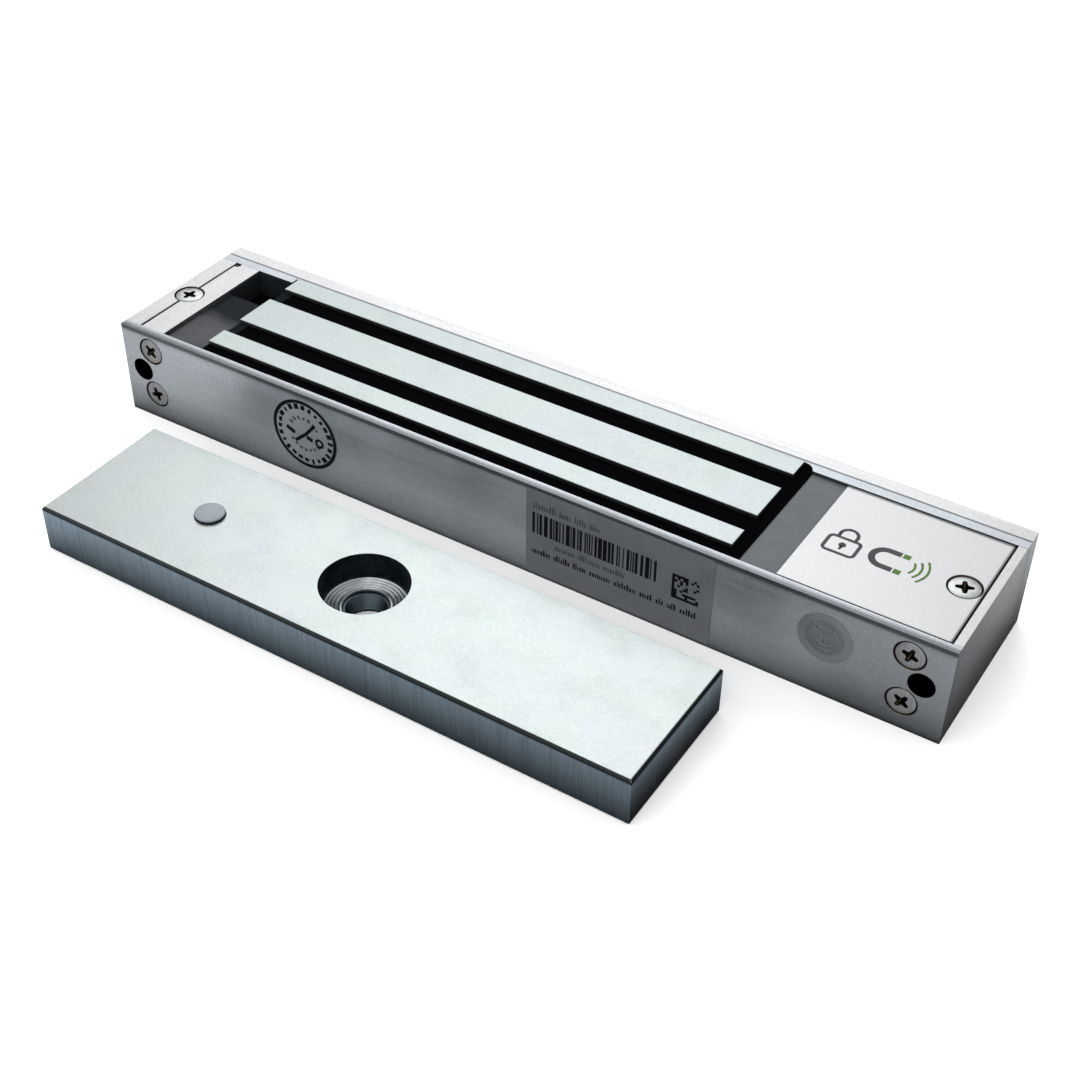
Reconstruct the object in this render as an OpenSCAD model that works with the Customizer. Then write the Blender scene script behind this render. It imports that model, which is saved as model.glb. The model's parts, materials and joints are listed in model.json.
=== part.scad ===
// Magnetic door lock: electromagnet body with its armature plate.
// Lengths are in millimetres. X runs along the lock, +Y points to the mounting plate, +Z out of the poles.
// The origin is the centre of the body's resting face.

/* [Body] */
// Overall length of the lock body
body_l = 250; // [240:1:270]
// Overall height of the lock body, rim to resting face
body_h = 28.5; // [28:0.5:31]
// Width of the housing channel without the mounting plate
housing_w = 47; // [47:0.5:50]
// Thickness of the front wall
front_wall_t = 2.4; // [2.2:0.1:2.8]
// Thickness of the rear wall
rear_wall_t = 3.1; // [3:0.1:3.6]
// Thickness of the channel floor
floor_t = 2.6; // [2.4:0.1:3]
// Play left between loose fitting pieces
play = 0.05; // [0.02:0.01:0.08]

/* [Mounting plate] */
// Thickness of the mounting plate
mount_t = 4.5; // [4:0.5:5]
// Radius of the slots for the frame screws
slot_r = 2.75; // [2.2:0.05:3]
// End to end length of each slot
slot_l = 14; // [10:1:20]
// Distance between the two slots
slot_spacing = 140; // [130:1:150]
// Radius of the fixed frame screw holes
frame_hole_r = 2.2; // [1.8:0.1:2.5]
// Distance between the fixed holes along the plate
frame_hole_dx = 90; // [70:1:100]
// Distance between the fixed holes across the plate
frame_hole_dz = 14; // [12:0.5:15]

/* [Magnet] */
// Length of the laminated core
core_l = 163.2; // [150:0.1:166]
// Width of the centre pole, twice that of the outer poles
pole_w = 13.3; // [12.6:0.1:13.4]
// Distance from the left end of the body to the core
core_inset = 27; // [26:0.5:30]
// Height of the pole faces above the rim
pole_proud = 0.4; // [0.2:0.1:0.6]
// Depth of the potting below the pole faces
potting_drop = 1.1; // [0.8:0.1:1.6]
// Height of the coil bobbin
bobbin_h = 10.7; // [8:0.1:12]

/* [Ends and cover] */
// Length of the left end block
left_block_l = 13.8; // [13:0.1:15]
// Length of the right end block
right_block_l = 14.8; // [14:0.1:16]
// Length of the compartment cover
cover_l = 43.6; // [42:0.1:44]
// Thickness of the compartment cover
cover_t = 2; // [1.6:0.1:2.4]
// Thickness of the raised rim beyond the cover
end_rim_t = 2.3; // [2:0.1:3]
// Height of the mounting bolts above the resting face
bolt_z = 15.3; // [15:0.1:16]
// Radius of the mounting bolt access holes
access_r = 3.4; // [3.2:0.1:3.6]
// Distance of the side screws above and below the bolts
side_screw_dz = 7.15; // [7:0.05:7.3]

/* [Armature plate] */
// Length of the armature plate
plate_l = 175.3; // [170:0.1:180]
// Width of the armature plate
plate_w = 42.4; // [40:0.1:44]
// Thickness of the armature plate
plate_t = 14.1; // [13.5:0.1:15]
// Edge chamfer of the armature plate
plate_edge = 0.6; // [0.3:0.1:1]
// Radius of the central counterbore
counterbore_r = 11.4; // [10:0.1:12]
// Depth of the central counterbore
counterbore_d = 7.5; // [5:0.1:8.5]
// Radius of the central through hole
centre_hole_r = 5.7; // [4.5:0.1:6.5]
// Radius of each guide pin hole in the back
guide_r = 2.6; // [2:0.1:3]
// Distance between the guide pin holes
guide_spacing = 66; // [50:1:74]

/* [Release pin] */
// Radius of the release pin head
pin_r = 4; // [3.5:0.1:4.3]
// Height of the release pin above the plate
pin_proud = 1; // [0.8:0.1:1.2]
// Distance of the release pin from the plate centre
pin_offset = 49.3; // [46:0.1:60]

/* [Hidden] */
$fn = 64;
eps = 0.01;

total_w = housing_w + mount_t;
x_left = -body_l / 2;
x_right = body_l / 2;
y_front = -total_w / 2;
y_back = total_w / 2;
y_housing = y_back - mount_t;
y_in_front = y_front + front_wall_t;
y_in_rear = y_housing - rear_wall_t;
in_w = y_in_rear - y_in_front;
cavity_h = body_h - floor_t;

// Core: an E section whose outer poles and windows are half the centre pole
core_w = pole_w * 3;
outer_pole_w = pole_w / 2;
window_w = pole_w / 2;
core_x0 = x_left + core_inset;
core_x1 = core_x0 + core_l;
core_y = 0.4;
core_top = body_h + pole_proud;
yoke_top = floor_t + outer_pole_w;
relief_y = core_y + core_w / 2 + 0.1;
relief_x0 = core_x0 - 0.9;
potting_x1 = core_x1 + 3.3;
potting_top = core_top - potting_drop;
potting_corner_r = 3;

// Coil: bobbin wall, winding and the room both take beyond the core ends
bobbin_t = 0.6;
tab_l = 3;
bobbin_top = yoke_top + bobbin_h;
winding_w = window_w - bobbin_t - 0.35;
coil_overhang = bobbin_t + winding_w + 0.75;

// Compartment and cover
cover_x1 = x_right - end_rim_t - 0.5;
cover_x0 = cover_x1 - cover_l;
cover_z0 = body_h - cover_t;
cover_y0 = y_in_front + 0.3;
cover_y1 = y_in_rear - 0.5;
resin_x1 = cover_x0 - 0.1;
dam_t = 2;
dam_x1 = resin_x1 + dam_t;
resin_top = body_h - 1;
block_x0 = x_right - right_block_l;

// Left pocket: the grey fill ends part way across and leaves an open corner
left_fill_y = y_in_front + 28.3;
left_fill_top = body_h - 1.5;
pocket_floor = bobbin_top + 1;
block_x1 = x_left + left_block_l;
liner_t = 0.4;

// Screws and bolts
mid_y = y_front + 22.5;
left_bolt_x = x_left + 6.3;
right_bolt_x = x_right - 6.8;
left_screw_x = x_left + 10.2;
right_screw_x = x_right - 10.75;
end_screw_x = x_left + 5.6;
cover_screw_x = x_right - 7.5;
bolt_r = 2.45;
bolt_head_r = 3.2;
bolt_seat_y = y_in_rear - 14;
screw_head_r = 4.1;
screw_head_h = 2.1;
screw_r = 2;
side_screw_l = 12;
top_screw_l = 8;
core_screw_step = 60;
groove_w = 0.7;

// Wiring compartment parts
board_x0 = dam_x1 + 1.4;
board_l = 14.5;
board_w = 34;
board_z = floor_t + 3;
board_t = 1.6;
board_top = board_z + board_t;
board_y = core_y - 2.6;
post_y = board_w / 2 - 3;
post_x = board_x0 + 3;
terminal_l = 8;
terminal_w = 20;
terminal_h = 9;
terminal_x0 = board_x0 + board_l - terminal_l - 1;
terminal_ways = 4;
terminal_pitch = terminal_w / terminal_ways;
varistor_y = board_y - 7.2;
diode_x = board_x0 + 10;
diode_y = board_y + 13.5;
lead_r = 0.9;
lead_z = bobbin_top - 5.5;
lead_x0 = core_x1 + coil_overhang - 0.7 + play;
lead_x1 = board_x0 + 3;
lead_dy = 3.6;
outlet_x = x_right - 22;
outlet_r = 3.5;
outlet_flat = 2;
outlet_z = bolt_z;

// Labels
label_t = 0.12;
label_x0 = 11;
label_l = 53.4;
label_z0 = 1;
seal_r = 10.8;
seal_x = -60.3;
seal_z = 15.5;
tamper_r = 7.2;
tamper_x = 93.8;
tamper_z = 17.8;

// Armature plate position and release pin bore
plate_x = -10.4;
plate_y = -65.4;
pin_x = plate_x - pin_offset;
flange_r = 5.4;
flange_t = 2;
shoulder_z = plate_t - 4.5;
plug_t = 2.5;
spring_turns = 4;
wire_r = 0.45;
spring_r = 4.4;

module box(x0, x1, y0, y1, z0, z1) {
    translate([x0, y0, z0]) cube([x1 - x0, y1 - y0, z1 - z0]);
}

module along_y(x, y, z) {
    translate([x, y, z]) rotate([-90, 0, 0]) children();
}

module rounded_rect(l, w, r) {
    square([l - 2 * r, w], center = true);
    square([l, w - 2 * r], center = true);
    for (sx = [-1, 1], sy = [-1, 1])
        translate([sx * (l / 2 - r), sy * (w / 2 - r)]) circle(r = r);
}

// Straight sided shape with round ends along X
module obround(flat, r, h) {
    for (s = [-1, 1])
        translate([s * flat / 2, 0, 0]) cylinder(r = r, h = h);
    translate([-flat / 2, -r, 0]) cube([flat, 2 * r, h]);
}

module chamfered_box(l, w, h, c) {
    intersection() {
        rotate([90, 0, 90])
            linear_extrude(l, center = true)
                polygon([[-w / 2 + c, 0], [w / 2 - c, 0], [w / 2, c], [w / 2, h - c],
                         [w / 2 - c, h], [-w / 2 + c, h], [-w / 2, h - c], [-w / 2, c]]);
        rotate([90, 0, 0])
            linear_extrude(w, center = true)
                polygon([[-l / 2 + c, 0], [l / 2 - c, 0], [l / 2, c], [l / 2, h - c],
                         [l / 2 - c, h], [-l / 2 + c, h], [-l / 2, h - c], [-l / 2, c]]);
    }
}

// Countersunk screw with a cross recess; the head face is at z = 0 and the shank points to +Z
module countersunk_screw(length, head_r, head_h, r) {
    recess_l = head_r * 1.15;
    recess_w = head_r * 0.27;
    difference() {
        union() {
            cylinder(r1 = head_r, r2 = r, h = head_h);
            cylinder(r = r, h = length);
        }
        for (a = [0, 90])
            rotate([0, 0, a])
                translate([-recess_l / 2, -recess_w / 2, -eps])
                    cube([recess_l, recess_w, head_h * 0.75]);
    }
}

// Hole for that screw, wider by the play all round
module countersunk_hole(length, head_r, head_h, r) {
    translate([0, 0, -eps]) cylinder(r1 = head_r + 2 * play, r2 = r + play, h = head_h + play + eps);
    translate([0, 0, -eps]) cylinder(r = r + play, h = length + 0.5);
}

module at_side_screws() {
    for (x = [left_screw_x, right_screw_x], s = [-1, 1])
        along_y(x, y_front, bolt_z + s * side_screw_dz) children();
}

module at_bolts() {
    for (x = [left_bolt_x, right_bolt_x])
        translate([x, 0, bolt_z]) children();
}

module at_core_screws() {
    for (i = [-1:1])
        translate([(core_x0 + core_x1) / 2 + i * core_screw_step, core_y, 0]) children();
}

module at_leads() {
    for (s = [-1, 1])
        translate([0, core_y + s * lead_dy, lead_z]) children();
}

// Corner of each bobbin tab, at the left end of the two windows
module at_tabs() {
    for (s = [-1, 1])
        translate([core_x0, core_y + s * (pole_w + window_w) / 2 - window_w / 2, bobbin_top]) children();
}

// Straight run of one coil lead, from the winding to above its solder joint
module lead_run() {
    translate([lead_x0, 0, 0]) rotate([0, 90, 0]) cylinder(r = lead_r, h = lead_x1 - lead_x0);
}

// Plan of the recess that takes the core, cut into the rear wall over the core's length
module relief_plan() {
    l = potting_x1 - relief_x0;
    w = relief_y - y_in_front;
    translate([relief_x0, y_in_front]) {
        square([l - potting_corner_r, w]);
        square([l, w - potting_corner_r]);
        translate([l - potting_corner_r, w - potting_corner_r]) circle(r = potting_corner_r);
    }
}

module core_section() {
    difference() {
        translate([-core_w / 2, 0]) square([core_w, core_top - floor_t]);
        for (s = [-1, 1])
            translate([s * (pole_w / 2 + window_w / 2) - window_w / 2, outer_pole_w])
                square([window_w, core_top]);
    }
}

// Room taken by the bobbin and winding, including their overhang at both ends
module coil_room() {
    w = pole_w / 2 + window_w;
    box(core_x0 - coil_overhang, core_x1 + coil_overhang, core_y - w, core_y + w, yoke_top, bobbin_top);
}

module housing() color("Silver") {
    difference() {
        box(x_left, x_right, y_front, y_housing, 0, body_h);
        box(x_left - 1, x_right + 1, y_in_front, y_in_rear, floor_t, body_h + 1);
        translate([0, 0, floor_t]) linear_extrude(body_h) relief_plan();
        at_side_screws() countersunk_hole(front_wall_t, screw_head_r, screw_head_h, screw_r);
        at_bolts() along_y(0, y_front - 1, 0) cylinder(r = access_r, h = front_wall_t + 2);
        at_bolts() along_y(0, y_in_rear - 1, 0) cylinder(r = bolt_r + play, h = rear_wall_t + 2);
        at_core_screws() countersunk_hole(floor_t, screw_head_r, screw_head_h, screw_r);
        along_y(outlet_x, y_in_rear - 1, outlet_z) obround(outlet_flat, outlet_r + 1.5, rear_wall_t + 2);
    }
}

module mounting_plate() color("Gainsboro") {
    mid_z = body_h / 2;
    difference() {
        box(x_left, x_right, y_housing + play, y_back, 0, body_h);
        at_bolts() along_y(0, y_housing - 1, 0) cylinder(r = bolt_r + play, h = mount_t + 2);
        for (s = [-1, 1])
            along_y(s * slot_spacing / 2, y_housing - 1, mid_z)
                obround(slot_l - 2 * slot_r, slot_r, mount_t + 2);
        for (sx = [-1, 1], sz = [-1, 1])
            along_y(sx * frame_hole_dx / 2, y_housing, mid_z + sz * frame_hole_dz / 2) {
                translate([0, 0, -1]) cylinder(r = frame_hole_r, h = mount_t + 2);
                translate([0, 0, play - eps])
                    cylinder(r1 = frame_hole_r * 1.9, r2 = frame_hole_r, h = frame_hole_r * 0.9);
            }
        along_y(outlet_x, y_housing - 1, outlet_z) cylinder(r = outlet_r + 4.5, h = mount_t + 2);
    }
}

module mounting_bolts() color("DimGray") {
    head_h = 5;
    at_bolts()
        along_y(0, bolt_seat_y - head_h, 0)
            difference() {
                union() {
                    cylinder(r = bolt_head_r, h = head_h);
                    cylinder(r = bolt_r, h = y_back - 0.5 - bolt_seat_y + head_h);
                }
                translate([0, 0, -eps]) cylinder(r = 2.3, h = 2.5, $fn = 6);
            }
}

// Bolt bore through an end block: wide for the head, then narrow for the shank
module bolt_bore() {
    along_y(0, y_in_front - 1, 0) cylinder(r = access_r, h = bolt_seat_y + play - y_in_front + 1);
    along_y(0, y_in_front - 1, 0) cylinder(r = bolt_r + play, h = in_w + 2);
}

module end_block_left() color("Silver") {
    difference() {
        box(x_left, block_x1, y_in_front, y_in_rear, floor_t, body_h);
        translate([left_bolt_x, 0, bolt_z]) bolt_bore();
        at_side_screws() translate([0, 0, front_wall_t]) cylinder(r = screw_r + play, h = side_screw_l);
        translate([end_screw_x, mid_y, body_h]) mirror([0, 0, 1])
            countersunk_hole(top_screw_l, screw_head_r + 0.2, screw_head_h, screw_r);
        box(end_screw_x - groove_w / 2, end_screw_x + groove_w / 2, y_in_front - 1, y_in_rear + 1,
            body_h - 0.6, body_h + 1);
        translate([end_screw_x + 0.7, y_in_rear - 0.9, body_h - 3]) cylinder(r = 1.1, h = 4);
    }
}

module end_block_right() color("Silver") {
    difference() {
        union() {
            box(block_x0, x_right, y_in_front, y_in_rear, floor_t, cover_z0 - play);
            box(x_right - end_rim_t, x_right, y_in_front, y_in_rear, floor_t, body_h);
        }
        translate([right_bolt_x, 0, bolt_z]) bolt_bore();
        at_side_screws() translate([0, 0, front_wall_t]) cylinder(r = screw_r + play, h = side_screw_l);
        translate([cover_screw_x, mid_y, body_h - top_screw_l - 0.5])
            cylinder(r = screw_r + play, h = top_screw_l);
        translate([cover_screw_x, mid_y, body_h]) mirror([0, 0, 1])
            countersunk_hole(top_screw_l, screw_head_r + 0.2, screw_head_h + 0.2, screw_r);
    }
}

module side_screws() color("LightGray") {
    at_side_screws() countersunk_screw(side_screw_l, screw_head_r, screw_head_h, screw_r);
}

module left_end_screw() color("LightGray") {
    translate([end_screw_x, mid_y, body_h]) mirror([0, 0, 1])
        countersunk_screw(top_screw_l, screw_head_r + 0.2, screw_head_h, screw_r);
}

module cover_plate() color("WhiteSmoke") {
    difference() {
        box(cover_x0, cover_x1, cover_y0, cover_y1, cover_z0, body_h);
        translate([cover_screw_x, mid_y, body_h]) mirror([0, 0, 1])
            countersunk_hole(top_screw_l, screw_head_r + 0.2, screw_head_h, screw_r);
    }
}

module cover_screw() color("LightGray") {
    translate([cover_screw_x, mid_y, body_h]) mirror([0, 0, 1])
        countersunk_screw(top_screw_l, screw_head_r + 0.2, screw_head_h, screw_r);
}

module core() color("LightSteelBlue") {
    difference() {
        translate([core_x0, core_y, floor_t])
            rotate([90, 0, 90]) linear_extrude(core_l) core_section();
        at_core_screws() cylinder(r = screw_r + play, h = floor_t + 5.7);
    }
}

module core_screws() color("LightGray") {
    at_core_screws() countersunk_screw(floor_t + 5, screw_head_r, screw_head_h, screw_r);
}

// Rectangular spool round the centre pole, with a flange above and below the winding
module coil_bobbin() color("DarkSlateGray") {
    cx = (core_x0 + core_x1) / 2;
    flange_l = core_l + 2 * coil_overhang - 0.2;
    flange_w = pole_w + 2 * window_w - 0.2;
    difference() {
        translate([cx, core_y, yoke_top + play])
            linear_extrude(bobbin_h - play) rounded_rect(flange_l, flange_w, 1.5);
        translate([cx, core_y, yoke_top + play + bobbin_t])
            linear_extrude(bobbin_h - play - 2 * bobbin_t)
                difference() {
                    square([flange_l + 2, flange_w + 2], center = true);
                    square([core_l + 0.2 + 2 * bobbin_t, pole_w + 0.2 + 2 * bobbin_t], center = true);
                }
        translate([cx, core_y, yoke_top])
            linear_extrude(bobbin_h + 1) square([core_l + 0.2, pole_w + 0.2], center = true);
    }
    at_tabs() translate([0, 0.1, 0]) cube([tab_l, window_w - 0.2, potting_top - bobbin_top]);
}

module coil_winding() color("Sienna") {
    cx = (core_x0 + core_x1) / 2;
    inner_l = core_l + 0.2 + 2 * bobbin_t + 0.1;
    inner_w = pole_w + 0.2 + 2 * bobbin_t + 0.1;
    translate([cx, core_y, yoke_top + 2 * play + bobbin_t])
        linear_extrude(bobbin_h - 3 * play - 2 * bobbin_t)
            difference() {
                rounded_rect(inner_l + 2 * winding_w - 0.2, inner_w + 2 * winding_w - 0.2, 4);
                square([inner_l, inner_w], center = true);
            }
}

// Room taken by the core, with the thin gap left behind it in the rear wall
module core_room() {
    translate([core_x0 - eps, core_y, floor_t])
        rotate([90, 0, 90])
            linear_extrude(core_l + eps) {
                core_section();
                translate([core_w / 2 - eps, 0]) square([1, core_top]);
            }
}

module potting() color("Black") {
    difference() {
        union() {
            translate([0, 0, floor_t])
                linear_extrude(potting_top - floor_t)
                    difference() {
                        relief_plan();
                        translate([relief_x0 - 1, y_in_front - 1])
                            square([core_x0 - relief_x0 + 1, 2 * core_w]);
                    }
            box(block_x1, core_x0, left_fill_y, y_in_rear, floor_t, pocket_floor);
        }
        core_room();
        coil_room();
        at_tabs() translate([-eps, 0, -eps]) cube([tab_l + eps, window_w, body_h]);
    }
}

module resin_left() color("Gray") {
    difference() {
        box(block_x1, core_x0, y_in_front, left_fill_y, floor_t, left_fill_top);
        coil_room();
    }
}

module resin_right() color("Gray") {
    difference() {
        box(potting_x1, resin_x1, y_in_front, y_in_rear, floor_t, resin_top);
        coil_room();
        at_leads() lead_run();
    }
}

module resin_dam() color("DarkSlateGray") {
    difference() {
        box(resin_x1, dam_x1, y_in_front, y_in_rear, floor_t, cover_z0 - play);
        at_leads() lead_run();
    }
}

// Thin black sheet lining the open corner of the left pocket
module pocket_liner() color("Black") {
    z1 = body_h - 0.5;
    box(block_x1, core_x0 - 1, y_in_rear - liner_t, y_in_rear, pocket_floor, z1);
    box(block_x1, block_x1 + liner_t, left_fill_y, y_in_rear, pocket_floor, z1);
}

module circuit_board() color("DarkGreen") {
    difference() {
        box(board_x0, board_x0 + board_l, board_y - board_w / 2, board_y + board_w / 2, board_z, board_top);
        for (s = [-1, 1])
            translate([post_x, board_y + s * post_y, board_z - 1]) cylinder(r = 1.3, h = board_t + 2);
    }
}

module board_posts() color("WhiteSmoke") {
    for (s = [-1, 1])
        translate([post_x, board_y + s * post_y, floor_t])
            difference() {
                cylinder(r = 2.4, h = board_z - floor_t);
                translate([0, 0, 0.4]) cylinder(r = 1.25, h = board_z);
            }
}

module board_screws() color("LightGray") {
    for (s = [-1, 1])
        translate([post_x, board_y + s * post_y, board_z - 2]) {
            cylinder(r = 1.2, h = board_t + 2);
            translate([0, 0, board_t + 2])
                difference() {
                    cylinder(r = 2.3, h = 1.4);
                    translate([-2, -0.3, 0.8]) cube([4, 0.6, 1]);
                }
        }
}

module at_terminals() {
    for (i = [0 : terminal_ways - 1])
        translate([terminal_x0, board_y + (i - (terminal_ways - 1) / 2) * terminal_pitch, board_top])
            children();
}

module terminal_block() color("SeaGreen") {
    difference() {
        box(terminal_x0, terminal_x0 + terminal_l, board_y - terminal_w / 2, board_y + terminal_w / 2,
            board_top, board_top + terminal_h);
        at_terminals() {
            translate([3.5, 0, 3]) cylinder(r = 1.9, h = terminal_h);
            translate([3.5, -1.6, 1.2]) cube([terminal_l, 3.2, 3.4]);
        }
    }
}

module terminal_screws() color("LightGray") {
    at_terminals()
        translate([3.5, 0, 4.8])
            difference() {
                cylinder(r = 1.75, h = 3.2);
                translate([-2, -0.3, 2.4]) cube([4, 0.6, 1]);
            }
}

module varistor() color("RoyalBlue") {
    translate([board_x0 + 2.6, varistor_y, board_top + 6])
        rotate([0, 90, 0]) cylinder(r = 3.4, h = 2.4, center = true);
    for (s = [-1, 1])
        translate([board_x0 + 2.6, varistor_y + s * 1.9, board_top]) cylinder(r = 0.35, h = 3.5);
}

module diode() color("Black") {
    translate([diode_x, diode_y, board_top + 1.4])
        rotate([0, 90, 0]) {
            cylinder(r = 1.2, h = 4.4, center = true);
            cylinder(r = 0.4, h = 7.4, center = true);
        }
    for (s = [-1, 1])
        translate([diode_x + s * 3.2, diode_y, board_top]) cylinder(r = 0.28, h = 1.4);
}

module coil_leads() color("Firebrick") {
    at_leads() {
        lead_run();
        translate([lead_x1, 0, 0]) sphere(r = lead_r, $fn = 32);
        translate([lead_x1, 0, board_top - lead_z]) cylinder(r = lead_r, h = lead_z - board_top);
    }
}

// Flanged bush in the rear wall that the supply cable passes through
module wire_grommet() color("Black") {
    along_y(outlet_x, y_in_rear - 1.5, outlet_z)
        difference() {
            union() {
                obround(outlet_flat, outlet_r + 1.5, rear_wall_t + 3);
                obround(outlet_flat, outlet_r + 2.5, 1.5);
                translate([0, 0, rear_wall_t + 1.5]) obround(outlet_flat, outlet_r + 2.5, 1.5);
            }
            translate([0, 0, -1]) cylinder(r = outlet_r, h = rear_wall_t + 6);
        }
}

module serial_label() color("DarkGray") {
    box(label_x0, label_x0 + label_l, y_front - label_t, y_front, label_z0, body_h - 1);
}

module inspection_seal() color("DimGray") {
    along_y(seal_x, y_front - label_t, seal_z) cylinder(r = seal_r, h = label_t);
}

module tamper_seal() color("DarkGray") {
    along_y(tamper_x, y_front - label_t, tamper_z) cylinder(r = tamper_r, h = label_t);
}

module armature_plate() color("LightSteelBlue") {
    translate([plate_x, plate_y, 0])
        difference() {
            chamfered_box(plate_l, plate_w, plate_t, plate_edge);
            translate([0, 0, -1]) cylinder(r = centre_hole_r, h = plate_t + 2);
            translate([0, 0, plate_t - counterbore_d]) cylinder(r = counterbore_r, h = counterbore_d + 1);
            for (s = [-1, 1])
                translate([s * guide_spacing / 2, 0, -1]) cylinder(r = guide_r, h = 9);
            translate([pin_x - plate_x, 0, 0]) {
                translate([0, 0, -1]) cylinder(r = flange_r + 2 * play, h = shoulder_z + 1);
                cylinder(r = pin_r + play, h = plate_t + 1);
            }
        }
}

// Stepped pin with a flange under the shoulder of its bore and a domed head
module release_pin() color("DarkGray") {
    top = plate_t + pin_proud;
    flange_z = shoulder_z - play;
    dome_r = 12;
    translate([pin_x, plate_y, 0]) {
        translate([0, 0, flange_z - flange_t]) cylinder(r = flange_r, h = flange_t);
        intersection() {
            translate([0, 0, flange_z - 1]) cylinder(r = pin_r, h = top - flange_z + 1);
            translate([0, 0, top - dome_r]) sphere(r = dome_r, $fn = 96);
        }
    }
}

function coil_point(a, r, z0, rise) = [r * cos(a), r * sin(a), z0 + rise * a / 360];

// Round wire wound on a helix between the plug and the pin flange
module release_spring() color("SlateGray") {
    z0 = plug_t + wire_r + play;
    z1 = shoulder_z - play - flange_t - wire_r - play;
    rise = (z1 - z0) / spring_turns;
    sides = 10;
    steps = 24 * spring_turns;
    points = [
        for (i = [0:steps], j = [0 : sides - 1])
            let (a = 360 * spring_turns * i / steps, b = 360 * j / sides)
                coil_point(a, spring_r + wire_r * cos(b), z0 + wire_r * sin(b), rise)
    ];
    walls = [
        for (i = [0 : steps - 1], j = [0 : sides - 1])
            let (k = (j + 1) % sides)
                [i * sides + j, i * sides + k, (i + 1) * sides + k, (i + 1) * sides + j]
    ];
    first = [for (j = [sides - 1 : -1 : 0]) j];
    last = [for (j = [0 : sides - 1]) steps * sides + j];
    translate([pin_x, plate_y, 0]) polyhedron(points, concat(walls, [first, last]));
}

module spring_plug() color("SlateGray") {
    translate([pin_x, plate_y, 0])
        difference() {
            cylinder(r = flange_r + play, h = plug_t);
            translate([-flange_r * 0.8, -0.6, -eps]) cube([flange_r * 1.6, 1.2, 1.2]);
        }
}

housing();
mounting_plate();
mounting_bolts();
end_block_left();
end_block_right();
side_screws();
left_end_screw();
cover_plate();
cover_screw();
core();
core_screws();
coil_bobbin();
coil_winding();
potting();
resin_left();
resin_right();
resin_dam();
pocket_liner();
circuit_board();
board_posts();
board_screws();
terminal_block();
terminal_screws();
varistor();
diode();
coil_leads();
wire_grommet();
serial_label();
inspection_seal();
tamper_seal();
armature_plate();
release_pin();
release_spring();
spring_plug();
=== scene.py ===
import bmesh
import bpy
import json
import math
import random
from mathutils import Matrix, Vector


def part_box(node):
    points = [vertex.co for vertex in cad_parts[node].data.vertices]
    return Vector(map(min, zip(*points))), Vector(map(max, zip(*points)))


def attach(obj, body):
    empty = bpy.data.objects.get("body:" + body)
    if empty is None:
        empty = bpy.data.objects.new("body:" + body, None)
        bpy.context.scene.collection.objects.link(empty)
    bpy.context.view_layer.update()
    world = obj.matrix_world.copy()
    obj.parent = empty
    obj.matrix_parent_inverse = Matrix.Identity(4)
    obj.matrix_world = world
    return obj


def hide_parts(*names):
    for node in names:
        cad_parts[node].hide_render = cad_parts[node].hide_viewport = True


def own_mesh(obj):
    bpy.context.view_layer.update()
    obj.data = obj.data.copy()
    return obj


# Magnetic door lock: finishes, screws, stickers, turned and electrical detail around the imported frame.
# Lengths are in metres. Sizes written as a number times MM are millimetres.

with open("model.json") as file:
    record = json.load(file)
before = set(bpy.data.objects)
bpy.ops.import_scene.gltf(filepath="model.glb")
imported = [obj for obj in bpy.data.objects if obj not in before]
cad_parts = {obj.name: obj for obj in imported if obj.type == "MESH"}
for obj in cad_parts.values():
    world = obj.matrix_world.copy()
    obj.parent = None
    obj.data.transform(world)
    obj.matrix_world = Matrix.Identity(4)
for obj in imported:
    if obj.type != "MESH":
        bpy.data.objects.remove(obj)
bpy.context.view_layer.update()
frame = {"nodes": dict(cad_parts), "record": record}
MM = 0.001
scene = bpy.context.scene
mounts = {m["name"]: m for m in frame["record"]["mounts"]}


def centre(node):
    """Middle of the node's box."""
    low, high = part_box(node)
    return (low + high) / 2


# ---------------------------------------------------------------- finishes

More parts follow.
